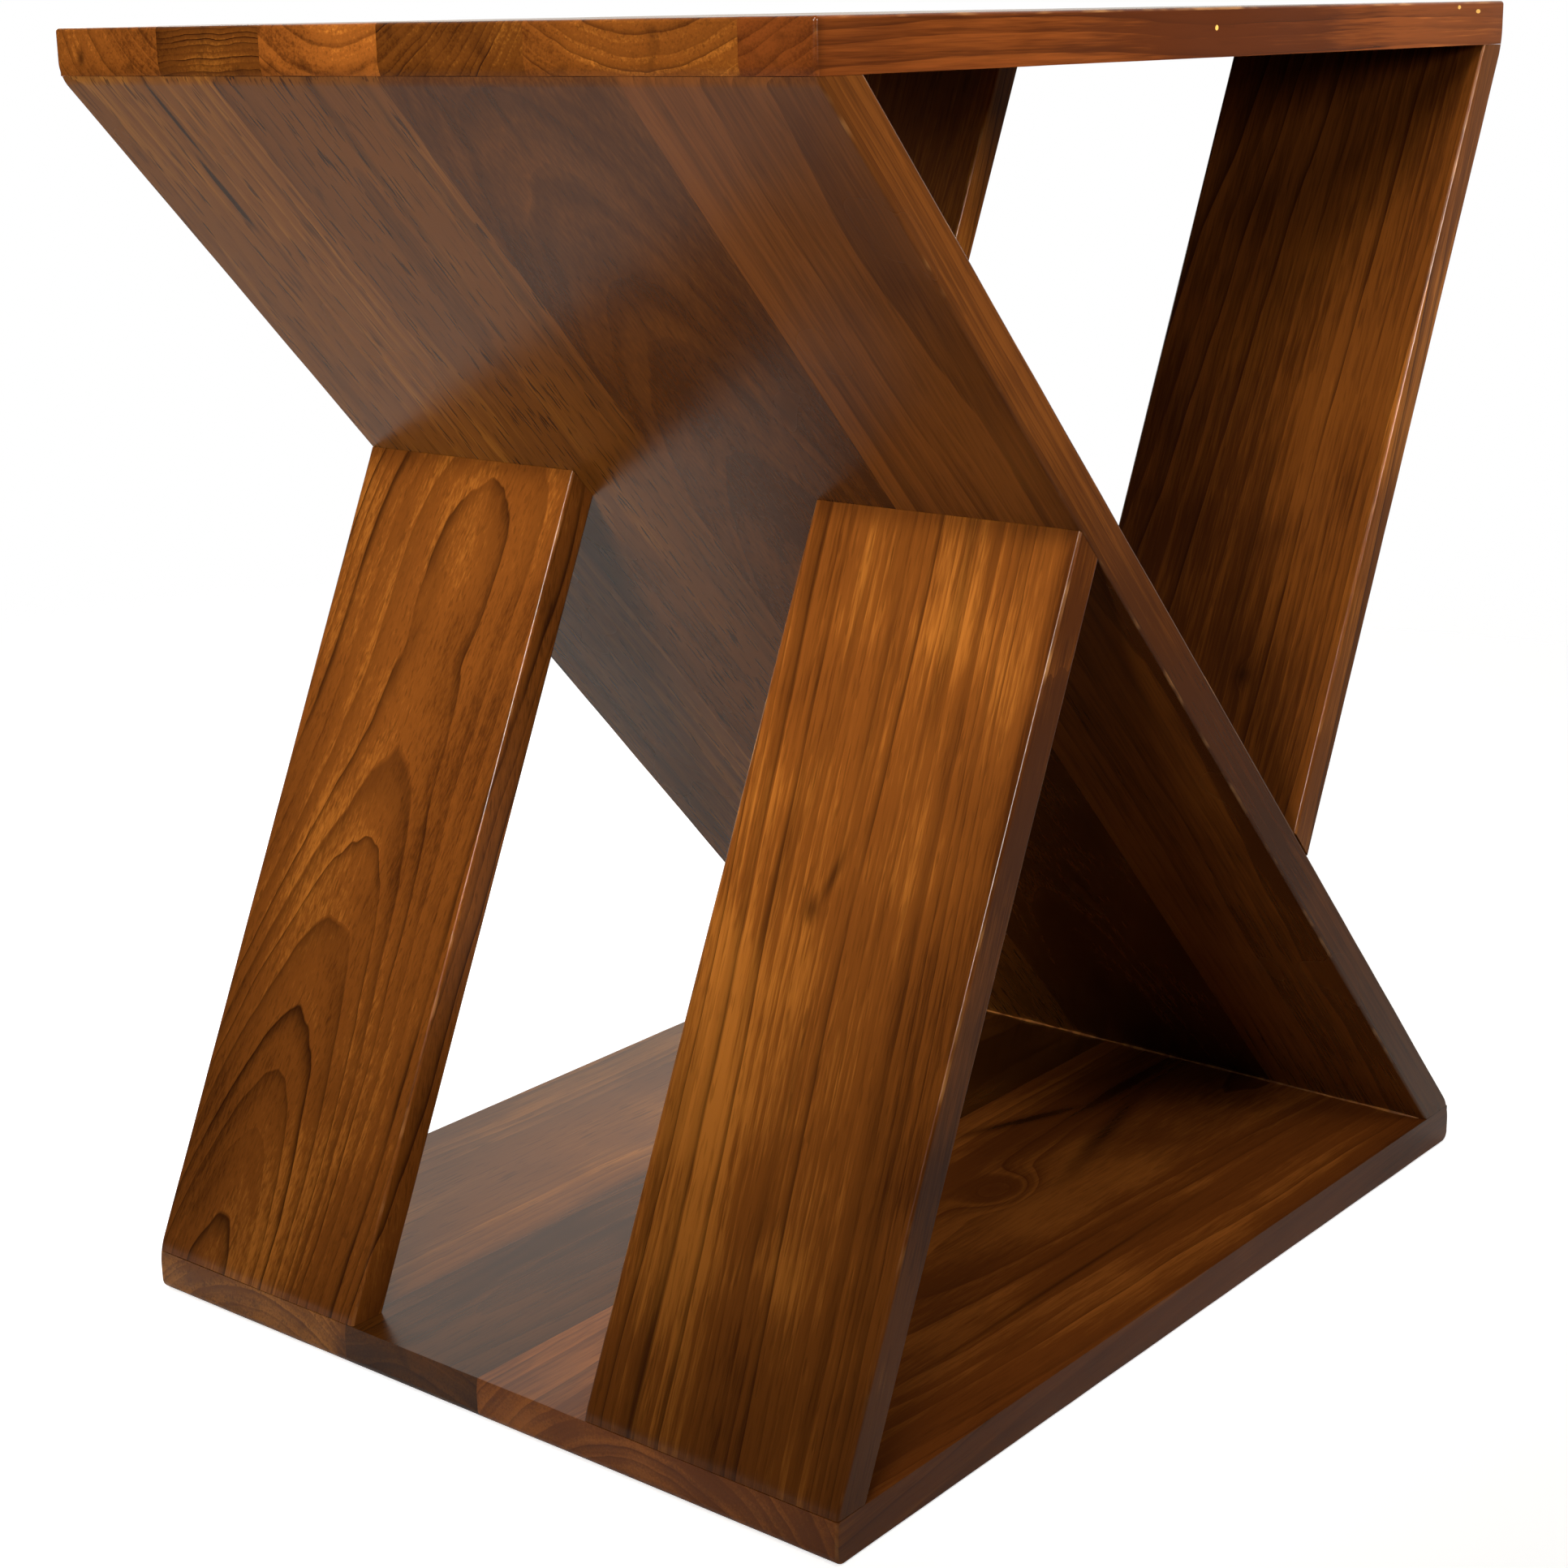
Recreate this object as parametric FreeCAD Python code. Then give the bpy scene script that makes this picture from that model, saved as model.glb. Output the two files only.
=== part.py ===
# Z-shaped side table and magazine rack in solid teak.
# A top board, an inclined panel and a bottom board make the Z, and two slats stand
# across each open side, so that each side of the panel is a pocket for magazines.
# Frame: origin on the floor under the middle, +X to the right, +Y to the back, +Z up.
import FreeCAD, Part
import math
import os

from FreeCAD import Vector

# ---- driving dimensions, in millimetres ----
width = 390.0            # side to side
depth = 504.0            # front edge to rear edge
height = 555.0           # floor to table surface
board_thick = 19.0       # top, bottom and inclined panel
slat_thick = 17.0
slat_width = 128.0
head_share = 0.33        # how far down the panel the front slats meet it

# glue lines, as shares of the width from the left edge
top_glue_lines = [0.163, 0.316, 0.481, 0.669, 0.917]
panel_glue_lines = [0.236, 0.4765, 0.776]
bottom_glue_lines = [0.317, 0.520]

# rounding of the corners seen from the side
top_edge_round = 1.8     # table surface into the front and rear edges
front_nose_round = 14.0  # top's front edge into the underside of the panel
rear_nose_round = 30.0   # top's rear edge into the rear slats
heel_round = 20.0        # panel into the bottom's rear edge
toe_round = 30.0         # front slats into the bottom's front edge
floor_edge_round = 5.0   # bottom's edges into its underside
arris_round = 1.5        # eased long arrises

dowel_dia = 6.0
dowel_length = 24.0
dowel_chamfer = 0.6
dowels_from_slat_edge = 29.0
tongue_thick = 4.0
tongue_height = 20.0
tongue_side_stop = 20.0  # the grooves stop this far short of the sides
glue_room = 1.0          # spare depth at the end of each hole and groove

# ---- places worked out from them, as (y, z) in the side view ----
half_depth = depth / 2
top_under = height - board_thick
rise = top_under - board_thick

# The panel's ends are cut level. Its level width h keeps the stated thickness t:
# h * rise = t * sqrt((depth - h)^2 + rise^2), solved for h.
t_squared = board_thick ** 2
excess = rise ** 2 - t_squared
panel_level = (math.sqrt((depth * t_squared) ** 2 + excess * t_squared * (depth ** 2 + rise ** 2))
               - depth * t_squared) / excess


def side_point(y, z):
    return Vector(0, y, z)


under_top = side_point(-half_depth, top_under)
under_bottom = side_point(half_depth - panel_level, board_thick)
upper_top = side_point(-half_depth + panel_level, top_under)
upper_bottom = side_point(half_depth, board_thick)
slope = (under_bottom - under_top).normalize()
panel_normal = Vector(0, slope.z, -slope.y)   # out of the underside, forwards and down

slat_foot = side_point(-half_depth, board_thick)
slat_head = under_top + (under_bottom - under_top) * head_share
slat_run = (slat_head - slat_foot).normalize()
slat_inward = Vector(0, slat_run.z, -slat_run.y)
centre_line = Vector(0, 0, height / 2)


def meet(point, direction, line_point, line_direction):
    """Where two lines of the side view cross."""
    gap = line_point - point
    cross = direction.y * line_direction.z - direction.z * line_direction.y
    along = (gap.y * line_direction.z - gap.z * line_direction.y) / cross
    return point + direction * along


def turned(shape):
    """The rear pieces are the front ones turned half a turn about the middle."""
    copy = shape.copy()
    copy.rotate(centre_line, Vector(1, 0, 0), 180)
    return copy


def extrude_side(points, x_low, x_high):
    """A closed outline of the side view, carried from x_low to x_high."""
    placed = [Vector(x_low, p.y, p.z) for p in points]
    face = Part.Face(Part.makePolygon(placed + placed[:1]))
    return face.extrude(Vector(x_high - x_low, 0, 0))


def rounded_face(corners):
    """A face in the side view from (point, radius) corners, with true arcs."""
    edges = []
    starts = []
    ends = []
    count = len(corners)
    for index in range(count):
        point, radius = corners[index]
        to_last = (corners[index - 1][0] - point).normalize()
        to_next = (corners[(index + 1) % count][0] - point).normalize()
        half_angle = to_last.getAngle(to_next) / 2
        setback = radius / math.tan(half_angle)
        starts.append(point + to_last * setback)
        ends.append(point + to_next * setback)
        if radius > 0:
            bisector = (to_last + to_next).normalize()
            reach = radius / math.sin(half_angle) - radius
            middle = point + bisector * reach
            edges.append(Part.Arc(starts[-1], middle, ends[-1]).toShape())
    for index in range(count):
        edges.append(Part.makeLine(ends[index], starts[(index + 1) % count]))
    return Part.Face(Part.Wire(Part.__sortEdges__(edges)))


def make_silhouette():
    """The whole rack as one solid block: every piece is trimmed to its rounded corners."""
    head = slat_head
    rear_foot = side_point(-head.y, height - head.z)
    corners = [
        (side_point(-half_depth, height), top_edge_round),
        (side_point(-half_depth, top_under), front_nose_round),
        (head, 0),
        (slat_foot, toe_round),
        (side_point(-half_depth, 0), floor_edge_round),
        (side_point(half_depth, 0), floor_edge_round),
        (side_point(half_depth, board_thick), heel_round),
        (rear_foot, 0),
        (side_point(half_depth, top_under), rear_nose_round),
        (side_point(half_depth, height), top_edge_round),
    ]
    solid = rounded_face(corners).extrude(Vector(width, 0, 0))
    solid.translate(Vector(-width / 2, 0, 0))
    return solid


def ease(solid, wanted):
    """Round the long straight arrises that the test picks out."""
    edges = []
    for edge in solid.Edges:
        if len(edge.Vertexes) == 2 and wanted(edge.Vertexes[0].Point, edge.Vertexes[1].Point):
            edges.append(edge)
    return solid.makeFillet(arris_round, edges)


def on_side(start, end, x):
    return abs(start.x - x) < 0.01 and abs(end.x - x) < 0.01


def stave_edges(glue_lines):
    shares = [0.0] + glue_lines + [1.0]
    return [width * (share - 0.5) for share in shares]


def make_staves(outline, glue_lines, eased_z):
    """Cut a board into its staves; the outer staves get eased side arrises."""
    lines = stave_edges(glue_lines)
    staves = []
    for x_low, x_high in zip(lines, lines[1:]):
        stave = extrude_side(outline, x_low, x_high)
        for x in (-width / 2, width / 2):
            if x in (x_low, x_high):
                stave = ease(stave, lambda a, b: on_side(a, b, x) and eased_z(a, b))
        staves.append(stave.common(silhouette))
    return staves


def make_top_staves():
    outline = [side_point(-half_depth, top_under), side_point(half_depth, top_under),
               side_point(half_depth, height), side_point(-half_depth, height)]
    return make_staves(outline, top_glue_lines, lambda a, b: min(a.z, b.z) > height - 0.01)


def make_bottom_staves():
    outline = [side_point(-half_depth, 0), side_point(half_depth, 0),
               side_point(half_depth, board_thick), side_point(-half_depth, board_thick)]
    return make_staves(outline, bottom_glue_lines, lambda a, b: max(a.z, b.z) < 0.01)


def make_panel_staves():
    outline = [under_top, upper_top, upper_bottom, under_bottom]
    return make_staves(outline, panel_glue_lines, lambda a, b: abs(a.z - b.z) > rise / 2)


def make_front_slat(x_low):
    """A slat with a level foot on the bottom board and a head cut to the panel's underside."""
    inner = slat_foot + slat_inward * slat_thick
    level = Vector(0, 1, 0)
    outline = [slat_foot, slat_head,
               meet(inner, slat_run, under_top, slope),
               meet(inner, slat_run, slat_foot, level)]
    slat = extrude_side(outline, x_low, x_low + slat_width)
    return ease(slat, lambda a, b: abs(a.z - b.z) > rise / 2).common(silhouette)


def make_pin(middle, axis, length, chamfered):
    start = middle - axis * (length / 2)
    pin = Part.makeCylinder(dowel_dia / 2, length, start, axis)
    if chamfered:
        rims = [edge for edge in pin.Edges if edge.Closed and isinstance(edge.Curve, Part.Circle)]
        pin = pin.makeChamfer(dowel_chamfer, rims)
    return pin


def joint_middle(cut_start, cut_direction, square, chamfered_reach):
    """The middle of the band of slat wood that a pin square to a cut end can stand in."""
    inner_start = meet(cut_start + slat_inward * slat_thick, slat_run, cut_start, cut_direction)
    lean = slat_run * (chamfered_reach / abs(slat_run.dot(square)))
    shift = (lean - square * lean.dot(square)) * (1 if lean.dot(square) > 0 else -1)
    return (cut_start + inner_start) * 0.5 + shift * 0.5


def pin_places(x_low, at_head):
    """Middle points and direction of the two pins at one end of a front slat."""
    half_pin = dowel_length / 2
    if at_head:
        square = panel_normal
        middle = joint_middle(slat_head, slope, square, half_pin)
    else:
        square = Vector(0, 0, 1)
        middle = joint_middle(slat_foot, Vector(0, 1, 0), square, half_pin)
    offsets = (dowels_from_slat_edge, slat_width - dowels_from_slat_edge)
    return [(middle + Vector(x_low + offset, 0, 0), square) for offset in offsets]


def make_pins(at_head, length, chamfered):
    pins = []
    for x_low in slat_lows:
        for middle, square in pin_places(x_low, at_head):
            pins.append(make_pin(middle, square, length, chamfered))
    return pins


def make_tongue(spare):
    """The loose tongue of the top joint, or its groove when spare depth is given."""
    high = tongue_height + 2 * spare
    long = width - 2 * tongue_side_stop
    # the middle of the band of panel wood that an upright groove can stand in
    lean = (tongue_height / 2) * abs(slope.y / slope.z)
    y_middle = -half_depth + (panel_level + lean) / 2
    corner = Vector(-long / 2, y_middle - tongue_thick / 2, top_under - high / 2)
    return Part.makeBox(long, tongue_thick, high, corner)


def cut_all(solids, tools):
    """Cut only the tools that reach each solid."""
    done = []
    for solid in solids:
        reaching = [tool for tool in tools if solid.common(tool).Volume > 0.01]
        done.append(solid.cut(reaching) if reaching else solid)
    return done


def save(name, solids):
    for solid in solids:
        if not solid.isValid() or len(solid.Solids) != 1:
            raise ValueError(name + " is not a single valid solid")
    if len(solids) == 1:
        shape = solids[0].Solids[0]
    else:
        shape = Part.makeCompound([solid.Solids[0] for solid in solids])
    shape.exportStep("parts/" + name + ".step")
    print(name, len(solids), "solid(s)", round(shape.Volume / 1000, 2), "cm3")


silhouette = make_silhouette()
slat_lows = [-width / 2, width / 2 - slat_width]

foot_pins = make_pins(False, dowel_length, True)
head_pins = make_pins(True, dowel_length, True)
foot_holes = make_pins(False, dowel_length + 2 * glue_room, False)
head_holes = make_pins(True, dowel_length + 2 * glue_room, False)
groove = make_tongue(glue_room)

top_cuts = [turned(hole) for hole in foot_holes] + [groove]
bottom_cuts = foot_holes + [turned(groove)]
panel_cuts = head_holes + [turned(hole) for hole in head_holes] + [groove, turned(groove)]

top_staves = cut_all(make_top_staves(), top_cuts)
bottom_staves = cut_all(make_bottom_staves(), bottom_cuts)
panel_staves = cut_all(make_panel_staves(), panel_cuts)
front_slats = [make_front_slat(x_low) for x_low in slat_lows]
rear_slats = [turned(slat).common(silhouette) for slat in front_slats]
front_slats = cut_all(front_slats, foot_holes + head_holes)
rear_slats = cut_all(rear_slats, [turned(hole) for hole in foot_holes + head_holes])

os.makedirs("parts", exist_ok=True)
for board, staves in (("top", top_staves), ("panel", panel_staves), ("bottom", bottom_staves)):
    for number, stave in enumerate(staves, 1):
        save(board + "_stave_" + str(number), [stave])
for side, front_slat, rear_slat in zip(("left", "right"), front_slats, rear_slats):
    save("front_" + side + "_slat", [front_slat])
    save("rear_" + side + "_slat", [rear_slat])
save("front_foot_dowels", foot_pins)
save("front_head_dowels", head_pins)
save("rear_foot_dowels", [turned(pin) for pin in head_pins])
save("rear_head_dowels", [turned(pin) for pin in foot_pins])
save("top_tongue", [make_tongue(0)])
save("bottom_tongue", [turned(make_tongue(0))])
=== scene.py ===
import bpy
import bmesh
import math
from mathutils import Matrix, Vector, noise


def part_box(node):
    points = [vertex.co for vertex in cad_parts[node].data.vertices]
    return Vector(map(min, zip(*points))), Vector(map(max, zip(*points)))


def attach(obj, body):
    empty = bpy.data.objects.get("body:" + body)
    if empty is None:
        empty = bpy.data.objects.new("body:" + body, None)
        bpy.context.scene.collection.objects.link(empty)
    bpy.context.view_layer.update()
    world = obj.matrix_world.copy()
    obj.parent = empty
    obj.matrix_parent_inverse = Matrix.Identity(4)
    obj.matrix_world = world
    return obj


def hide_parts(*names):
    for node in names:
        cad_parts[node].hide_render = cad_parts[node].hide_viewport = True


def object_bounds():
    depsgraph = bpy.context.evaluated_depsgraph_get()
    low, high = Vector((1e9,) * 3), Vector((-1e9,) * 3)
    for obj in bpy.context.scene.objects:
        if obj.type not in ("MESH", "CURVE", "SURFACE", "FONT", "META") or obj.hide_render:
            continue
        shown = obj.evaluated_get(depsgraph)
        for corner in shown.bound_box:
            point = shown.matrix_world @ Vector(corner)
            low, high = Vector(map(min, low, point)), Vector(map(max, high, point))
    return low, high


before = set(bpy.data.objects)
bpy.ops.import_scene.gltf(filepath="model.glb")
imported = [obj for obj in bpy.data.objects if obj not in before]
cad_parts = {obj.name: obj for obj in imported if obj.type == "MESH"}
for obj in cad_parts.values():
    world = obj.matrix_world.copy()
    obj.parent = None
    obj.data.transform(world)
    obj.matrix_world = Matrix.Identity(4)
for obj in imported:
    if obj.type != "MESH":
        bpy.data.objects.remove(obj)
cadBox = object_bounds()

scene = bpy.context.scene
scene.view_settings.view_transform = "Standard"

# sizes read off the CAD frame, in metres
lowCorner, highCorner = [Vector(corner) for corner in cadBox]
width, depth, height = highCorner - lowCorner
left, right = lowCorner.x, highCorner.x
front, back = lowCorner.y, highCorner.y
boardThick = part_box("top_stave_1")[1][2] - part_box("top_stave_1")[0][2]
topUnder = height - boardThick
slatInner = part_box("front_left_slat")[1][0]          # side of a slat that faces the gap
slatWidth = slatInner - left


def sideDirection(start, end):
    return (end - start).normalized()


def sidePoint(y, z):
    return Vector((0, y, z))


# the inclined panel: its level ends, its slope, and the outer face of a front slat
panelRise = topUnder - boardThick
squared = boardThick ** 2
excess = panelRise ** 2 - squared
panelLevel = (math.sqrt((depth * squared) ** 2 + excess * squared * (depth ** 2 + panelRise ** 2))
              - depth * squared) / excess
underTop = sidePoint(front, topUnder)
underBottom = sidePoint(back - panelLevel, boardThick)
overTop = sidePoint(front + panelLevel, topUnder)
overBottom = sidePoint(back, boardThick)
slopeDown = sideDirection(underTop, underBottom)
panelFront = Vector((0, slopeDown.z, -slopeDown.y))  # out of the panel's underside
slatFoot = sidePoint(front, boardThick)
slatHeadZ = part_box("front_left_slat")[1][2]
slatHead = underTop + slopeDown * ((slatHeadZ - topUnder) / slopeDown.z)
slatUp = sideDirection(slatFoot, slatHead)
slatIn = Vector((0, slatUp.z, -slatUp.y))
slatThick = 0.017
middle = Vector((0, 0, height / 2))
print("frame read:", [round(side, 4) for side in (width, depth, height)])

cameraSettings = {"eye": (0.7563, -0.9637, 0.5567), "turn": (74.34, 1.013, 38.887), "lens": 63.41}


def makeCamera(settings):
    lens = bpy.data.cameras.new("camera")
    lens.lens = settings["lens"]
    lens.sensor_width = 36
    camera = bpy.data.objects.new("camera", lens)
    camera.location = settings["eye"]
    camera.rotation_euler = [math.radians(angle) for angle in settings["turn"]]
    scene.collection.objects.link(camera)
    scene.camera = camera


floorSettings = {"size": 6, "color": (0.80, 0.80, 0.80, 1), "roughness": 0.9, "glow": 0.78,
                 "solidTo": 0.75, "goneBy": 1.7}


def makeFloor(settings):
    mesh = bpy.data.meshes.new("floor")
    bm = bmesh.new()
    bmesh.ops.create_grid(bm, x_segments=1, y_segments=1, size=settings["size"] / 2)
    bm.to_mesh(mesh)
    bm.free()
    floor = bpy.data.objects.new("floor", mesh)
    scene.collection.objects.link(floor)
    material = bpy.data.materials.new("paleFloor")
    material.use_nodes = True
    tree = material.node_tree
    shader = tree.nodes["Principled BSDF"]
    shader.inputs["Base Color"].default_value = settings["color"]
    shader.inputs["Roughness"].default_value = settings["roughness"]
    shader.inputs["Specular IOR Level"].default_value = 0.1
    # glows for the camera alone, so the floor stays plain white and lights nothing
    shader.inputs["Emission Color"].default_value = (1, 1, 1, 1)
    seen = addNode(tree, "LightPath").outputs["Is Camera Ray"]
    tree.links.new(calc(tree, "MULTIPLY", seen, settings["glow"]), shader.inputs["Emission Strength"])
    # the floor thins out into the white backdrop
    place = addNode(tree, "TexCoord").outputs["Object"]
    away = addNode(tree, "VectorMath", {0: place}, operation="LENGTH").outputs["Value"]
    cover = ramp(tree, away, settings["solidTo"], settings["goneBy"], 1.0, 0.0)
    tree.links.new(cover, shader.inputs["Alpha"])
    mesh.materials.append(material)


lightSettings = {
    "front softbox": {"place": (0.35, -1.35, 0.95), "aim": (-0.02, -0.14, 0.50), "size": 0.35, "spread": 38,
                      "power": 1.6, "color": (1, 0.95, 0.87)},
    "front fill": {"place": (0.15, -1.35, 1.1), "aim": (0, 0, 0.3), "size": 0.5, "spread": 180,
                   "power": 2.7, "color": (1, 0.95, 0.87)},
    "right softbox": {"place": (1.2, 0.1, 0.80), "aim": (0.19, 0.02, 0.55), "size": 0.30, "spread": 46,
                      "power": 1.5, "color": (1, 0.95, 0.87)},
    "high softbox": {"place": (0.5, -0.7, 1.3), "aim": (0, -0.15, 0.42), "size": 0.35, "spread": 50,
                     "power": 0.85, "color": (1, 0.95, 0.87)},
    "left fill": {"place": (-1.2, 0.2, 0.9), "aim": (0, 0, 0.2), "size": 0.5, "spread": 180,
                  "power": 5.2, "color": (1, 0.96, 0.9)},
}
# a white backdrop behind and a dim room everywhere else
surroundings = {"seen": 1.0, "backdrop": 0.98, "room": 0.010, "from": 0.25, "full": 0.85,
                "backdropSide": (-0.62, 0.77, 0.10), "warmth": (1, 0.96, 0.88, 1)}


def makeLights(settings):
    for name, lamp in settings.items():
        data = bpy.data.lights.new(name, "AREA")
        data.size = lamp["size"]
        data.energy = lamp["power"]
        data.color = lamp["color"]
        data.spread = math.radians(lamp["spread"])
        light = bpy.data.objects.new(name, data)
        light.location = lamp["place"]
        away = Vector(lamp["place"]) - Vector(lamp["aim"])
        light.rotation_euler = away.to_track_quat("Z", "Y").to_euler()
        scene.collection.objects.link(light)


def makeSurroundings(settings):
    world = bpy.data.worlds.new("white room")
    scene.world = world
    world.use_nodes = True
    tree = world.node_tree
    background = tree.nodes["Background"]
    toward = addNode(tree, "TexCoord").outputs["Generated"]
    facing = addNode(tree, "VectorMath", {0: toward, 1: settings["backdropSide"]}, operation="DOT_PRODUCT")
    lighting = ramp(tree, facing.outputs["Value"], settings["from"], settings["full"],
                    settings["room"], settings["backdrop"])
    rays = addNode(tree, "LightPath")
    strength = addNode(tree, "MapRange", {"Value": rays.outputs["Is Camera Ray"], "To Min": lighting,
                                          "To Max": settings["seen"]})
    tree.links.new(strength.outputs[0], background.inputs["Strength"])
    tree.links.new(mixColor(tree, rays.outputs["Is Camera Ray"], settings["warmth"], (1, 1, 1, 1)),
                   background.inputs["Color"])


def addNode(tree, kind, inputs=None, **settings):
    made = tree.nodes.new("ShaderNode" + kind)
    for key, value in settings.items():
        setattr(made, key, value)
    for key, value in (inputs or {}).items():
        if isinstance(value, bpy.types.NodeSocket):
            tree.links.new(value, made.inputs[key])
        else:
            made.inputs[key].default_value = value
    return made


def newMaterial(name):
    material = bpy.data.materials.new(name)
    material.use_nodes = True
    tree = material.node_tree
    place = addNode(tree, "TexCoord").outputs["Object"]
    return material, tree, tree.nodes["Principled BSDF"], place


def calc(tree, operation, first, second=0.0, third=0.0):
    return addNode(tree, "Math", {0: first, 1: second, 2: third}, operation=operation).outputs[0]


def vectorCalc(tree, operation, first, second):
    return addNode(tree, "VectorMath", {0: first, 1: second}, operation=operation).outputs[0]


def grainNoise(tree, place, across, along, detail=2.0, roughness=0.5):
    # noise drawn out along the grain: both sizes are waves per metre
    stretched = vectorCalc(tree, "MULTIPLY", place, (across, along, across))
    return addNode(tree, "TexNoise", {"Vector": stretched, "Scale": 1.0, "Detail": detail,
                                      "Roughness": roughness})


def ramp(tree, value, low, high, start=0.0, end=1.0):
    made = addNode(tree, "MapRange", {"Value": value, "From Min": low, "From Max": high,
                                      "To Min": start, "To Max": end}, interpolation_type="SMOOTHSTEP")
    return made.outputs[0]


def mixColor(tree, share, first, second, blend="MIX"):
    made = addNode(tree, "Mix", data_type="RGBA", blend_type=blend)
    for key, value in ((0, share), (6, first), (7, second)):
        if isinstance(value, bpy.types.NodeSocket):
            tree.links.new(value, made.inputs[key])
        else:
            made.inputs[key].default_value = value
    return made.outputs[2]


# varnish: gloss, how much it is smudged, and how deep the fibres and the sanding waves stand under it
finish = {"gloss": 0.27, "glassiness": 1.5, "smudging": 0.14, "fibreRelief": 0.06, "sandingRelief": 0.9,
          "reliefStrength": 0.8, "reliefDepth": 0.0006}
# rings: shiver in metres, changes of ring width per metre and their size in rings, growth streaks per metre
figure = {"shiver": 0.0030, "markShiver": 0.0022, "yearWaves": 55.0, "yearSpread": 2.4,
          "growthWaves": 330.0, "redGreen": 0.24}
teakColors = {"pale": (0.370, 0.126, 0.0180, 1), "mid": (0.180, 0.053, 0.0080, 1),
              "deep": (0.066, 0.0175, 0.0030, 1), "dark": (0.018, 0.0050, 0.0015, 1),
              "worn": (0.60, 0.30, 0.10, 1), "chip": (0.75, 0.42, 0.10, 1)}
# waves per metre across and along the grain, then detail and roughness, for each part of the figure
figureSizes = {
    "wander": (9, 2.6, 1.0), "shiver": (70, 12, 2.0), "breaks": (38, 9, 1.0, 0.6),
    "fibre": (1000, 28, 2.0, 0.65), "strands": (260, 5, 2.0, 0.6), "streaks": (75, 2.2, 2.0, 0.55),
    "patches": (20, 4.5, 1.0), "curl": (20, 22, 1.0), "pores": (780, 52, 1.0),
    "rubbed": (60, 30, 2.0, 0.7), "smudges": (22, 14, 1.0), "sanding": (16, 9, 0.0)}
# a plain board: what a cut below leaves out is taken from here
plainBoard = {
    "skew": 0, "tilt": 0, "wander": 0.018, "lineSharp": 5.0, "body": 0.2, "tone": 0.0, "fibre": 0.75,
    "strands": 0.5, "growth": 0.55, "patchy": 1.3, "curl": 0.35, "redness": 0.0, "shade": 1.0,
    "lines": 0.7, "streaks": 0.4, "pores": 0.28, "worn": 0.3, "sheen": 0.20, "marks": []}
grainTurns = {"level": 0.0,
              "slope": math.atan2(-slopeDown.z, -slopeDown.y),
              "slat": math.atan2(slatUp.z, slatUp.y)}


def swing(tree, value, size, base=0.0):
    # a noise value's departure from its middle, times size, added to base
    return calc(tree, "MULTIPLY_ADD", calc(tree, "SUBTRACT", value, 0.5), size, base)


def markReach(tree, place, mark, boardTurn):
    # 1 at the heart of a knot, crack or chip, or of a patch of painted light or shade, falling to 0 past
    # its reach
    turn = (boardTurn @ Matrix.Rotation(math.radians(mark.get("turn", 0)), 3, "Z")).to_euler()
    local = addNode(tree, "Mapping", {"Vector": place, "Location": mark["place"], "Rotation": turn,
                                      "Scale": mark["reach"]}, vector_type="TEXTURE").outputs[0]
    away = addNode(tree, "VectorMath", {0: local}, operation="LENGTH").outputs["Value"]
    return calc(tree, "EXPONENT", calc(tree, "MULTIPLY", calc(tree, "POWER", away, 2.0), -1.0))


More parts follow.
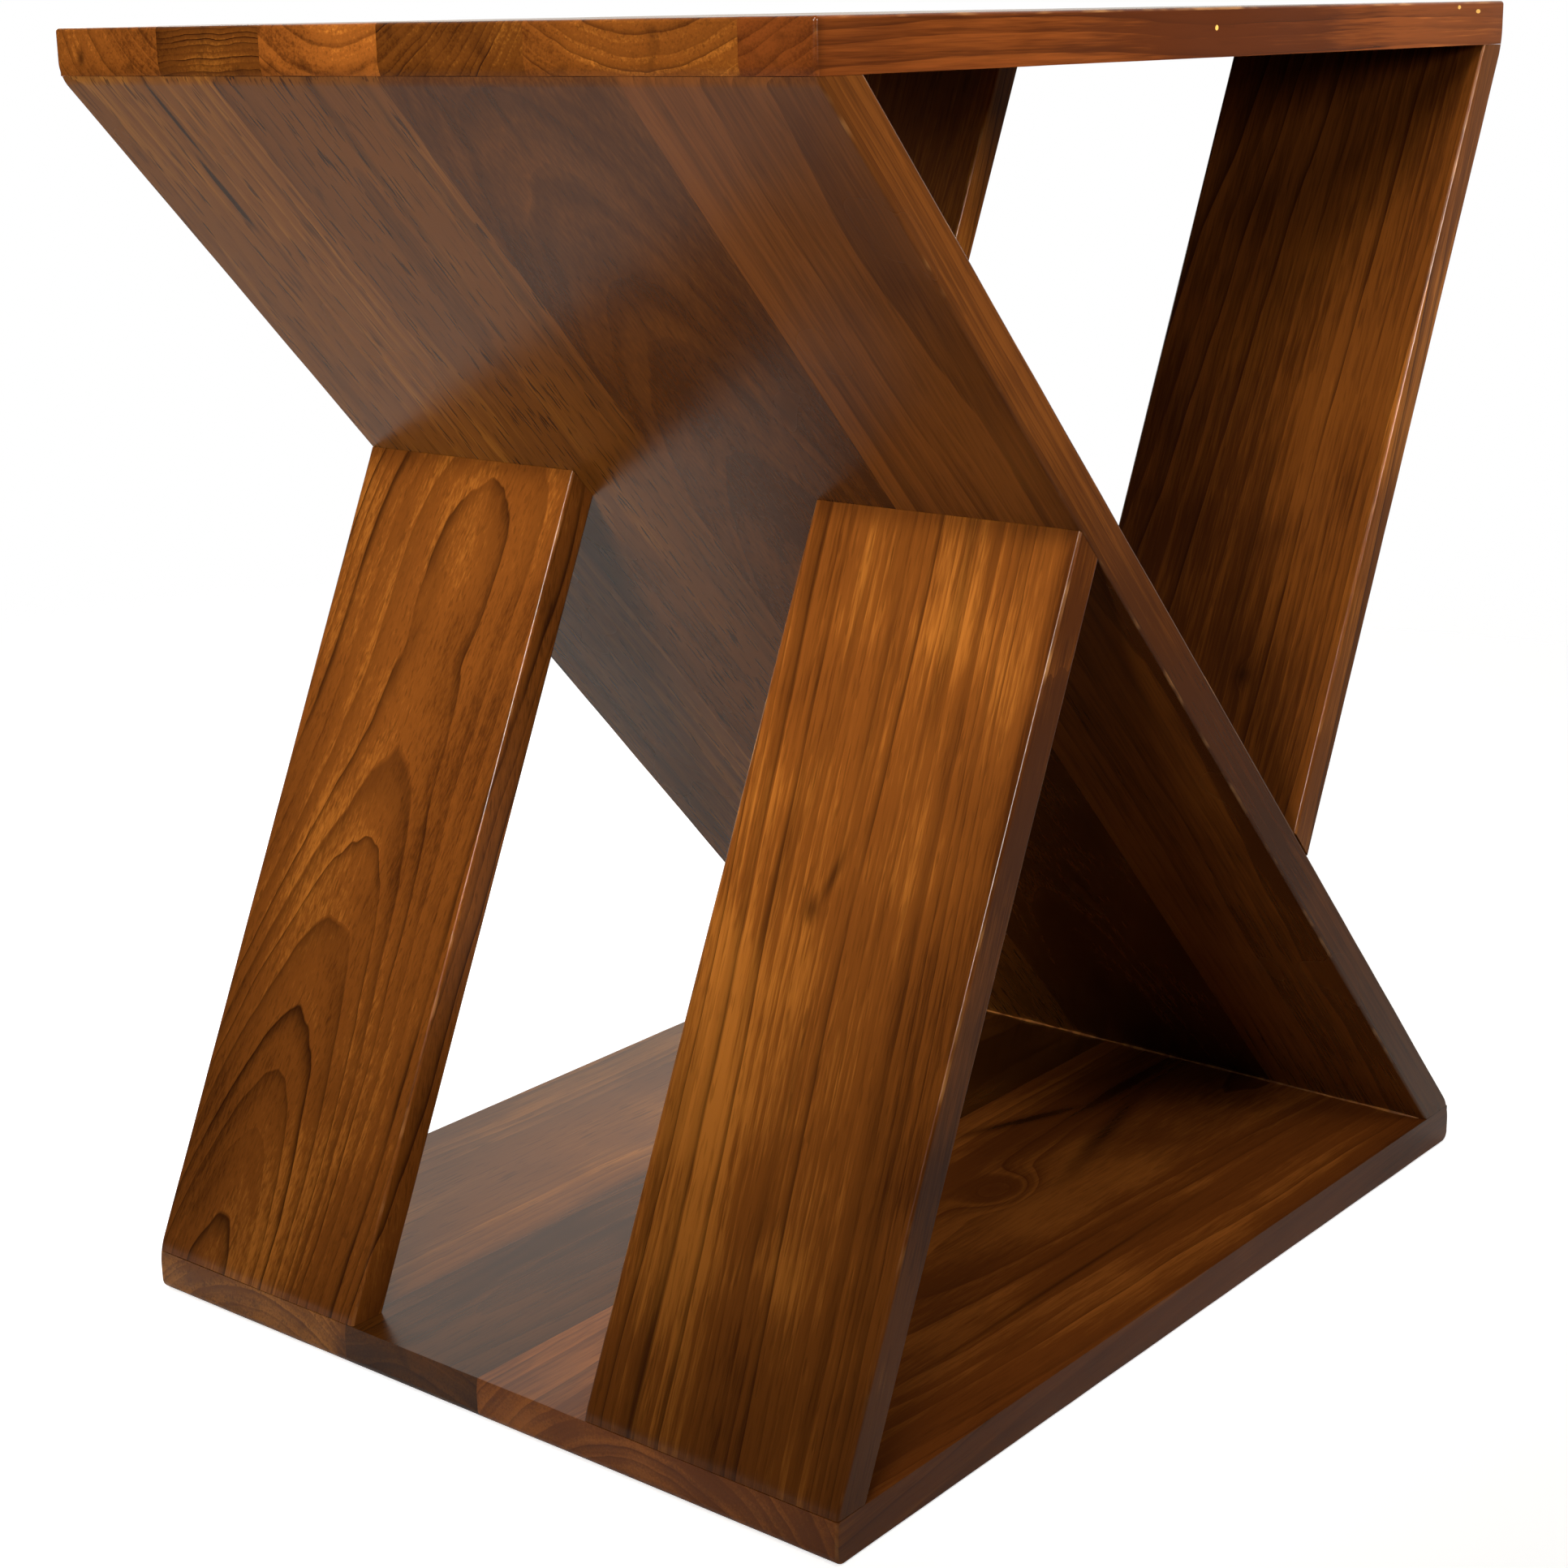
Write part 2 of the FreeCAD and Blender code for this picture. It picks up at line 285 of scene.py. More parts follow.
def teak(name, cut):
    # a board sawn out of a log: rings about a pith line, so faces, edges and end grain all agree
    cut = {**plainBoard, **cut}
    material, tree, shader, place = newMaterial(name)
    boardTurn = Matrix.Rotation(grainTurns[cut["grain"]], 3, "X")
    logTurn = boardTurn @ Matrix.Rotation(math.radians(cut["skew"]), 3, "Z")
    logTurn = (logTurn @ Matrix.Rotation(math.radians(cut["tilt"]), 3, "X")).to_euler()
    log = addNode(tree, "Mapping", {"Vector": place, "Location": cut["pith"], "Rotation": logTurn},
                  vector_type="TEXTURE").outputs[0]
    seeded = vectorCalc(tree, "ADD", log, (cut["seed"] * 1.37, cut["seed"] * 2.71, cut["seed"] * 0.83))

    # rings wander slowly down the log and shiver a little
    wander = cut["wander"]
    halfway = (0.5, 0.5, 0.5)
    slow = grainNoise(tree, seeded, *figureSizes["wander"]).outputs["Color"]
    slow = vectorCalc(tree, "SUBTRACT", slow, halfway)
    shiver = grainNoise(tree, seeded, *figureSizes["shiver"]).outputs["Color"]
    shiver = vectorCalc(tree, "SUBTRACT", shiver, halfway)
    bent = vectorCalc(tree, "ADD", log, vectorCalc(tree, "MULTIPLY", slow, (wander, 0, wander)))
    shake = figure["shiver"]
    bent = vectorCalc(tree, "ADD", bent, vectorCalc(tree, "MULTIPLY", shiver, (shake, 0, shake)))
    radius = addNode(tree, "VectorMath", {0: vectorCalc(tree, "MULTIPLY", bent, (1, 0, 1))},
                     operation="LENGTH").outputs["Value"]
    loose = vectorCalc(tree, "ADD", place, vectorCalc(tree, "MULTIPLY", shiver, [figure["markShiver"]] * 3))
    shift = 0.4 + cut["tone"]
    stainAndShade = None
    chips = None
    for mark in cut["marks"]:
        reach = markReach(tree, loose, mark, boardTurn)
        if mark.get("push"):
            radius = calc(tree, "MULTIPLY_ADD", reach, mark["push"], radius)
        # tone marks: figure in the wood, and on some side faces painted light or shade
        if mark.get("tone"):
            shift = calc(tree, "MULTIPLY_ADD", reach, mark["tone"], shift)
        # dark marks: knots, cracks and stains, and painted shade at the front right slat's foot
        if mark.get("dark"):
            spot = calc(tree, "MINIMUM", calc(tree, "MULTIPLY", reach, mark["dark"]), 0.92)
            stainAndShade = calc(tree, "MAXIMUM", stainAndShade, spot) if stainAndShade else spot
        if mark.get("chip"):
            spot = ramp(tree, reach, 0.5, 0.7)
            chips = calc(tree, "MAXIMUM", chips, spot) if chips else spot

    years = calc(tree, "MULTIPLY_ADD", radius, figure["yearWaves"], cut["seed"])
    uneven = addNode(tree, "TexNoise", {"W": years, "Scale": 1.0, "Detail": 2.0},
                     noise_dimensions="1D").outputs[0]
    rings = calc(tree, "DIVIDE", radius, cut["ring"])
    rings = calc(tree, "MULTIPLY_ADD", uneven, figure["yearSpread"], rings)
    inRing = calc(tree, "FRACT", rings)
    ringStrength = addNode(tree, "TexWhiteNoise", {"W": calc(tree, "FLOOR", rings)},
                           noise_dimensions="1D").outputs["Value"]
    # the dark line that closes a ring comes and goes along the board
    lateWood = calc(tree, "POWER", inRing, cut["lineSharp"])
    lateWood = calc(tree, "MULTIPLY", lateWood, ramp(tree, ringStrength, 0.2, 0.9, 0.15, 1.0))
    lateWood = calc(tree, "MULTIPLY", lateWood, calc(tree, "SUBTRACT", 1.0, ramp(tree, inRing, 0.96, 1.0)))
    broken = grainNoise(tree, seeded, *figureSizes["breaks"]).outputs[0]
    lateWood = calc(tree, "MULTIPLY", lateWood, ramp(tree, broken, 0.30, 0.50, 0.35, 1.0))
    # finer growth streaks that follow the rings
    streakPlace = calc(tree, "MULTIPLY", radius, figure["growthWaves"])
    streakPlace = calc(tree, "MULTIPLY_ADD", broken, 0.8, streakPlace)
    growth = addNode(tree, "TexNoise", {"W": streakPlace, "Scale": 1.0, "Detail": 3.0, "Roughness": 0.6},
                     noise_dimensions="1D").outputs[0]

    # fibres, dark mineral streaks, broad light and dark patches, pores
    fibre = grainNoise(tree, seeded, *figureSizes["fibre"]).outputs[0]
    strands = grainNoise(tree, seeded, *figureSizes["strands"]).outputs[0]
    streak = grainNoise(tree, seeded, *figureSizes["streaks"]).outputs[0]
    patch = grainNoise(tree, seeded, *figureSizes["patches"]).outputs[0]
    curl = grainNoise(tree, seeded, *figureSizes["curl"]).outputs[0]
    pores = grainNoise(tree, seeded, *figureSizes["pores"]).outputs[0]
    pores = calc(tree, "MULTIPLY", ramp(tree, pores, 0.58, 0.66), ramp(tree, inRing, 0.9, 0.0, 0.45, 1.0))

    tone = calc(tree, "MULTIPLY_ADD", inRing, cut["body"], shift)
    for value, key in ((fibre, "fibre"), (strands, "strands"), (growth, "growth"), (patch, "patchy"),
                       (curl, "curl")):
        tone = swing(tree, value, cut[key], tone)
    # redder boards have less green in them
    greenKept = 1.0 - figure["redGreen"] * cut["redness"]
    stained = cut["shade"]
    pale, middle, deep = [(tint[0] * stained, tint[1] * stained * greenKept, tint[2] * stained, 1)
                          for tint in (teakColors["pale"], teakColors["mid"], teakColors["deep"])]
    color = mixColor(tree, ramp(tree, tone, 0.0, 0.5), pale, middle)
    color = mixColor(tree, ramp(tree, tone, 0.5, 1.15), color, deep)
    color = mixColor(tree, calc(tree, "MULTIPLY", lateWood, cut["lines"]), color, teakColors["dark"])
    dark = calc(tree, "MULTIPLY", ramp(tree, streak, 0.56, 0.72), cut["streaks"])
    color = mixColor(tree, dark, color, teakColors["dark"])
    color = mixColor(tree, calc(tree, "MULTIPLY", pores, cut["pores"]), color, teakColors["dark"])
    # dark marks: knots, cracks and stains, and painted shade
    if stainAndShade:
        color = mixColor(tree, stainAndShade, color, teakColors["dark"])

    # arrises rubbed through to paler wood, here and there
    arris = addNode(tree, "Attribute", attribute_name="arris").outputs["Fac"]
    rubbed = grainNoise(tree, seeded, *figureSizes["rubbed"]).outputs[0]
    rubbed = calc(tree, "MULTIPLY", ramp(tree, rubbed, 0.5, 0.68), ramp(tree, arris, 0.35, 0.9))
    color = mixColor(tree, calc(tree, "MULTIPLY", rubbed, cut["worn"]), color, teakColors["worn"])
    if chips:
        color = mixColor(tree, chips, color, teakColors["chip"])
    tree.links.new(color, shader.inputs["Base Color"])

    smudge = grainNoise(tree, seeded, *figureSizes["smudges"]).outputs[0]
    roughness = swing(tree, smudge, finish["smudging"], cut["sheen"])
    tree.links.new(roughness, shader.inputs["Roughness"])
    shader.inputs["Specular IOR Level"].default_value = finish["gloss"]
    shader.inputs["IOR"].default_value = finish["glassiness"]

    # raised fibres and the slow unevenness of hand sanding
    relief = calc(tree, "MULTIPLY", fibre, finish["fibreRelief"])
    sanding = grainNoise(tree, seeded, *figureSizes["sanding"]).outputs[0]
    relief = calc(tree, "MULTIPLY_ADD", sanding, finish["sandingRelief"], relief)
    bump = addNode(tree, "Bump", {"Height": relief, "Strength": finish["reliefStrength"],
                                  "Distance": finish["reliefDepth"]})
    tree.links.new(bump.outputs[0], shader.inputs["Normal"])
    return material


easing = {"arris": 0.0015, "segments": 4, "noseSegments": 10, "cell": 0.012, "wobble": 0.00012,
          "wobbleWaves": 38.0, "sharpPast": 35}


def startBoard(corners, xLow, xHigh):
    # corners are (point, corner radius) pairs seen from the side
    bm = bmesh.new()
    bm.verts.layers.float.new("arris")
    face = bm.faces.new([bm.verts.new((xLow, point.y, point.z)) for point, radius in corners])
    carried = bmesh.ops.extrude_face_region(bm, geom=[face])["geom"]
    moved = [part for part in carried if isinstance(part, bmesh.types.BMVert)]
    bmesh.ops.translate(bm, verts=moved, vec=(xHigh - xLow, 0, 0))
    bmesh.ops.recalc_face_normals(bm, faces=bm.faces)
    for index, (point, radius) in enumerate(corners):
        if radius:
            inward = corners[index - 1][0] - point
            onward = corners[(index + 1) % len(corners)][0] - point
            reach = radius / math.tan(inward.angle(onward) / 2)
            edges = [edge for edge in bm.edges
                     if all((v.co - Vector((v.co.x, point.y, point.z))).length < 1e-6 for v in edge.verts)]
            bmesh.ops.bevel(bm, geom=edges, offset=reach, offset_type="OFFSET", affect="EDGES",
                            segments=easing["noseSegments"], profile=0.5, material=-1)
    return bm


def easeArrises(bm, wanted):
    # round the picked edges and mark the crown of the round for the rubbed finish
    edges = [edge for edge in bm.edges if wanted(edge.verts[0].co, edge.verts[1].co)]
    if not edges:
        return
    made = bmesh.ops.bevel(bm, geom=edges, offset=easing["arris"], offset_type="OFFSET",
                           affect="EDGES", segments=easing["segments"], profile=0.5, material=-1)
    layer = bm.verts.layers.float["arris"]
    rounded = set(made["faces"])
    for vert in made["verts"]:
        if vert.is_valid and all(face in rounded for face in vert.link_faces):
            vert[layer] = 1.0


def sawOff(bm, point, direction):
    # cut square across and drop what lies beyond, in the direction given
    made = bmesh.ops.bisect_plane(bm, geom=bm.verts[:] + bm.edges[:] + bm.faces[:], plane_co=point,
                                  plane_no=direction, clear_outer=True, dist=1e-6)
    rim = [part for part in made["geom_cut"] if isinstance(part, bmesh.types.BMEdge)]
    bmesh.ops.holes_fill(bm, edges=rim, sides=0)


def scoreAcross(bm, direction, step):
    # lines square across the board, for the slight unevenness of hand sanding
    reaches = [vert.co.dot(direction) for vert in bm.verts]
    position = math.ceil(min(reaches) / step) * step
    while position < max(reaches):
        bmesh.ops.bisect_plane(bm, geom=bm.verts[:] + bm.edges[:] + bm.faces[:],
                               plane_co=direction * position, plane_no=direction, dist=1e-5)
        position += step


def finishBoard(bm, node, cut, grain):
    scoreAcross(bm, grain, easing["cell"])
    scoreAcross(bm, Vector((1, 0, 0)), easing["cell"] * 1.5)
    for vert in bm.verts:
        # always inwards, so the board stays inside its drawn size, but glued faces stay tight
        uneven = 1.0 + noise.noise(vert.co * easing["wobbleWaves"])
        glued = right - abs(vert.co.x) > easing["arris"] * 2
        push = Vector((0 if glued else vert.normal.x, vert.normal.y, vert.normal.z))
        vert.co -= push * easing["wobble"] * uneven
    name = node + "_wood"
    mesh = bpy.data.meshes.new(name)
    bm.to_mesh(mesh)
    bm.free()
    mesh.polygons.foreach_set("use_smooth", [True] * len(mesh.polygons))
    mesh.set_sharp_from_angle(angle=math.radians(easing["sharpPast"]))
    piece = bpy.data.objects.new(name, mesh)
    scene.collection.objects.link(piece)
    evened = piece.modifiers.new("even shading", "WEIGHTED_NORMAL")
    evened.keep_sharp = True
    mesh.materials.append(teak(node + "Teak", cut))
    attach(piece, "root")
    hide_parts(node)


def onSide(first, second, x):
    return abs(first.x - x) < 1e-5 and abs(second.x - x) < 1e-5


def alongBoard(first, second):
    return abs(first.x - second.x) < 1e-5


cornerRounds = {"table edge": 0.0018, "front nose": 0.014, "rear nose": 0.030, "heel": 0.020, "toe": 0.030,
                "floor edge": 0.005}
up = Vector((0, 0, 1))
leadOut = 0.06                     # how far an outline runs on past a joint before it is sawn off


def topOutline():
    rearSlatDown = -slatUp
    return [(sidePoint(front, height), cornerRounds["table edge"]),
            (underTop, cornerRounds["front nose"]),
            (underTop + slopeDown * leadOut, 0),
            (sidePoint(back, topUnder) + rearSlatDown * leadOut, 0),
            (sidePoint(back, topUnder), cornerRounds["rear nose"]),
            (sidePoint(back, height), cornerRounds["table edge"])]


def bottomOutline():
    return [(sidePoint(front, 0), cornerRounds["floor edge"]),
            (sidePoint(back, 0), cornerRounds["floor edge"]),
            (overBottom, cornerRounds["heel"]),
            (overBottom - slopeDown * leadOut, 0),
            (slatFoot + slatUp * leadOut, 0),
            (slatFoot, cornerRounds["toe"])]


def panelOutline():
    beyond = boardThick / abs(slopeDown.z)
    return [(sidePoint(front, height), 0),
            (underTop, cornerRounds["front nose"]),
            (underBottom + slopeDown * beyond, 0),
            (sidePoint(back, 0), 0),
            (overBottom, cornerRounds["heel"]),
            (overTop - slopeDown * beyond, 0)]


def slatOutline():
    innerFoot = slatFoot + slatIn * slatThick
    return [(sidePoint(front, 0), 0),
            (slatFoot, cornerRounds["toe"]),
            (slatHead + slatUp * leadOut, 0),
            (slatHead + slatUp * leadOut + slatIn * slatThick, 0),
            (innerFoot - slatUp * leadOut / 2, 0)]


def outerArrises(bm, wanted):
    for x in (left, right):
        easeArrises(bm, lambda a, b: onSide(a, b, x) and wanted(a, b))


def makeStave(board, number):
    node = board + "_stave_" + str(number)
    xLow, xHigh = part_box(node)[0][0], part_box(node)[1][0]
    if board == "top":
        bm = startBoard(topOutline(), xLow, xHigh)
        outerArrises(bm, lambda a, b: max(a.z, b.z) > topUnder + 0.001)
        sawOff(bm, sidePoint(0, topUnder), -up)
        grain = Vector((0, 1, 0))
    elif board == "bottom":
        bm = startBoard(bottomOutline(), xLow, xHigh)
        outerArrises(bm, lambda a, b: min(a.z, b.z) < boardThick - 0.001)
        sawOff(bm, sidePoint(0, boardThick), up)
        grain = Vector((0, 1, 0))
    else:
        bm = startBoard(panelOutline(), xLow, xHigh)
        outerArrises(bm, lambda a, b: True)
        sawOff(bm, sidePoint(0, topUnder), up)
        sawOff(bm, sidePoint(0, boardThick), -up)
        grain = slopeDown
    finishBoard(bm, node, staveCuts[node], grain)


def makeSlat(end, side):
    node = end + "_" + side + "_slat"
    xLow = left if side == "left" else right - slatWidth
    bm = startBoard(slatOutline(), xLow, xLow + slatWidth)
    easeArrises(bm, alongBoard)
    sawOff(bm, sidePoint(0, boardThick), -up)
    sawOff(bm, slatHead, -panelFront)
    if end == "rear":
        bmesh.ops.rotate(bm, verts=bm.verts, cent=middle, matrix=Matrix.Rotation(math.pi, 3, "X"))
    finishBoard(bm, node, slatCuts[node], slatUp)


# how each board was cut: pith line, tilt of the board to it, ring spacing and colouring; a few marks paint
# light or shade on a face
slatCuts = {
    "front_left_slat": {
        "grain": "slat", "seed": 1.0, "pores": 0.3, "tone": 0.03, "growth": 0.35, "strands": 0.25,
        "curl": 0.5, "lineSharp": 4, "pith": (-0.17, -0.273, -0.026), "tilt": 11, "skew": -8.5,
        "ring": 0.0062, "lines": 1.0, "streaks": 0.1, "wander": 0.014,
        "marks": [
            {"place": (-0.12, -0.12, 0.31), "reach": (0.02, 0.05, 0.05), "tone": -0.25},
            {"place": (-0.131, slatHead.y, slatHead.z), "reach": (0.3, 0.1, 0.1), "push": -0.022},
            {"place": (-0.131, slatHead.y, slatHead.z), "reach": (0.3, 0.007, 0.05), "dark": 0.4}]},
    "front_right_slat": {
        "grain": "slat", "seed": 2.0, "patchy": 1.5, "growth": 0.35, "strands": 0.15,
        "pith": (-0.02, -0.19, 0.12), "tilt": 2.5, "skew": 2, "ring": 0.0065, "lines": 0.75,
        "lineSharp": 4, "streaks": 0.4, "curl": 0.65, "tone": 0.02,
        "marks": [
            # painted shade: darkens the slat's right side face
            {"place": (0.195, -0.11, 0.31), "reach": (0.006, 0.09, 0.05), "tone": 0.65},
            {"place": (0.15, -0.11, 0.33), "reach": (0.016, 0.034, 0.05), "tone": -0.4},
            {"place": (0.1, -0.1, 0.345), "reach": (0.012, 0.024, 0.05), "tone": -0.3},
            {"place": (0.085, -0.18, 0.175), "reach": (0.018, 0.05, 0.05), "tone": -0.25},
            {"place": (0.131, slatHead.y, slatHead.z), "reach": (0.3, 0.007, 0.05), "dark": 0.4},
            # painted shade: the slat darker towards its foot
            {"place": (0.1, slatFoot.y, slatFoot.z), "reach": (0.1, 0.12, 0.1), "dark": 0.3},
            {"place": (0.1216, -0.1555, 0.231), "reach": (0.0022, 0.012, 0.02), "dark": 0.7, "turn": -12},
            {"place": (0.1154, -0.1614, 0.218), "reach": (0.004, 0.006, 0.02), "dark": 0.6,
             "push": 0.003}]},
    "rear_left_slat": {
        "grain": "slat", "seed": 3.0, "pith": (-0.1, 0.25, 0.35), "tilt": 2, "ring": 0.006},
    "rear_right_slat": {
        "grain": "slat", "seed": 4.0, "shade": 0.8, "growth": 0.35, "strands": 0.25, "patchy": 0.8,
        "pith": (0.04, 0.22, 0.3), "tilt": 2, "ring": 0.006, "streaks": 0.35, "tone": 0.34, "curl": 0.6,
        "lines": 0.9, "lineSharp": 4,
        "marks": [
            # painted light: lightens the slat's right side face
            {"place": (0.195, 0.18, 0.4), "reach": (0.006, 0.25, 0.05), "tone": -0.55},
            {"place": (0.16, 0.18, 0.4), "reach": (0.02, 0.06, 0.05), "tone": -0.25},
            {"place": (0.15, 0.109, 0.264), "reach": (0.004, 0.006, 0.02), "dark": 0.8, "push": 0.005}]},
}
staveCuts = {
    "top_stave_1": {
        "grain": "level", "seed": 11.0, "shade": 0.95, "pith": (-0.1, 0, 0.6), "ring": 0.006,
        "tone": 0.06, "lines": 0.5,
        "marks": [
            {"place": (-0.179, -0.25, 0.543), "reach": (0.0022, 0.01, 0.0035), "dark": 0.8}]},
    "top_stave_2": {
        "grain": "level", "seed": 12.0, "shade": 0.46, "strands": 0.2, "growth": 0.3,
        "pith": (-0.1, 0, 0.33), "ring": 0.0024, "tone": 0.12, "lines": 1.6, "wander": 0.01},
    "top_stave_3": {
        "grain": "level", "seed": 13.0, "pith": (-0.03, 0, 0.6), "ring": 0.007, "tone": 0.0},
    "top_stave_4": {
        "grain": "level", "seed": 14.0, "shade": 0.42, "pith": (-0.05, 0, 0.63), "ring": 0.0036,
        "lines": 1.4, "wander": 0.008, "tone": 0.08},
    "top_stave_5": {
        "grain": "level", "seed": 15.0, "shade": 0.64, "pith": (0.12, 0, 0.64), "ring": 0.006,
        "tone": 0.06},
    "top_stave_6": {
        "grain": "level", "seed": 16.0, "pores": 0.12, "growth": 0.3, "redness": 0.6,
        "pith": (0.14, 0, 0.62), "ring": 0.006, "tone": 0.22, "lines": 0.4, "strands": 0.25,
        "marks": [
            {"place": (0.17, front, 0.545), "reach": (0.1, 0.004, 0.05), "dark": 0.45},
            {"place": (0.195, -0.2, 0.545), "reach": (0.03, 0.06, 0.05), "tone": 0.08},
            {"place": (0.195, 0.0, 0.545), "reach": (0.03, 0.09, 0.05), "tone": 0.55},
            {"place": (0.195, 0.2, 0.545), "reach": (0.03, 0.08, 0.05), "tone": -0.4},
            {"place": (0.195, 0.2252, 0.5505), "reach": (0.002, 0.003, 0.0012), "chip": 1},
            {"place": (0.195, 0.206, 0.5525), "reach": (0.002, 0.0022, 0.0012), "chip": 1},
            {"place": (0.195, -0.003, 0.5475), "reach": (0.002, 0.0016, 0.0014), "chip": 1}]},
    "panel_stave_1": {
        "grain": "slope", "seed": 21.0, "shade": 0.92, "redness": -0.55, "sheen": 0.25, "fibre": 0.5,
        "growth": 0.3, "tone": -0.06, "pith": (-0.2, 0, 0.1), "ring": 0.005, "lines": 0.3,
        "strands": 0.15, "patchy": 0.4, "pores": 0.75,
        "marks": [
            {"place": (-0.144, -0.2365, 0.519), "reach": (0.0011, 0.02, 0.01), "dark": 1.6},
            {"place": (-0.149, -0.208, 0.4885), "reach": (0.0014, 0.017, 0.01), "dark": 2.2}]},
    "panel_stave_2": {
        "grain": "slope", "seed": 22.0, "shade": 0.7, "redness": -0.4, "sheen": 0.25, "fibre": 0.5,
        "growth": 0.3, "pith": (-0.06, 0, 0.1), "ring": 0.005, "lines": 0.3, "tone": 0.04,
        "strands": 0.15, "patchy": 0.6, "pores": 0.85},
    "panel_stave_3": {
        "grain": "slope", "seed": 23.0, "shade": 0.8, "body": 0.08, "sheen": 0.25, "fibre": 0.5,
        "growth": 0.3, "redness": -0.3, "pith": (0.04, 0.02, 0.16), "ring": 0.007, "tilt": 8,
        "lines": 0.2, "tone": 0.5, "pores": 0.25, "strands": 0.15, "patchy": 0.45},
    "panel_stave_4": {
        "grain": "slope", "seed": 24.0, "shade": 0.85, "sheen": 0.25, "fibre": 0.5, "growth": 0.3,
        "redness": -0.1, "pith": (0.2, 0, 0.1), "ring": 0.006, "lines": 0.3, "tone": 0.2, "pores": 0.2,
        "strands": 0.15, "patchy": 0.8,
        "marks": [
            # painted shade: darkens the middle of the panel's right side edge
            {"place": (0.195, -0.04, 0.3), "reach": (0.008, 0.16, 0.05), "tone": 0.55}]},
    "bottom_stave_1": {
        "grain": "level", "seed": 31.0, "pores": 0.4, "redness": -0.3, "fibre": 0.5, "growth": 0.3,
        "pith": (-0.13, 0, -0.06), "ring": 0.006, "lines": 0.35, "tone": -0.15, "strands": 0.12,
        "marks": [
            {"place": (-0.068, -0.12, 0.019), "reach": (0.018, 0.15, 0.03), "tone": 0.7}]},
    "bottom_stave_2": {
        "grain": "level", "seed": 32.0, "shade": 0.62, "pores": 0.4, "redness": -0.3, "fibre": 0.5,
        "growth": 0.3, "pith": (-0.03, 0, -0.09), "ring": 0.006, "lines": 0.35, "tone": 0.38,
        "strands": 0.12},
    "bottom_stave_3": {
        "grain": "level", "seed": 33.0, "fibre": 0.5, "growth": 0.3, "tone": -0.05, "redness": 0.35,
        "pith": (0.1, 0, -0.05), "ring": 0.008, "tilt": 3, "strands": 0.12, "lines": 0.5,
        "streaks": 0.15, "pores": 0.15,
        "marks": [
            {"place": (0.072, 0.03, 0.019), "reach": (0.012, 0.018, 0.02), "push": 0.02, "tone": 0.35},
            {"place": (0.05, 0.175, 0.019), "reach": (0.004, 0.04, 0.02), "dark": 0.9},
            {"place": (0.035, 0.108, 0.019), "reach": (0.0036, 0.04, 0.02), "dark": 0.9, "turn": -22},
            {"place": (0.075, 0.12, 0.019), "reach": (0.0055, 0.055, 0.02), "dark": 0.7, "turn": 14},
            {"place": (0.15, -0.03, 0.019), "reach": (0.0012, 0.1, 0.02), "dark": 0.6}]},
}

# a thin line of squeezed-out glue where the panel meets the bottom board
glueBead = {"leg": 0.0014, "end": 0.004, "color": (0.42, 0.16, 0.030, 1), "roughness": 0.35}


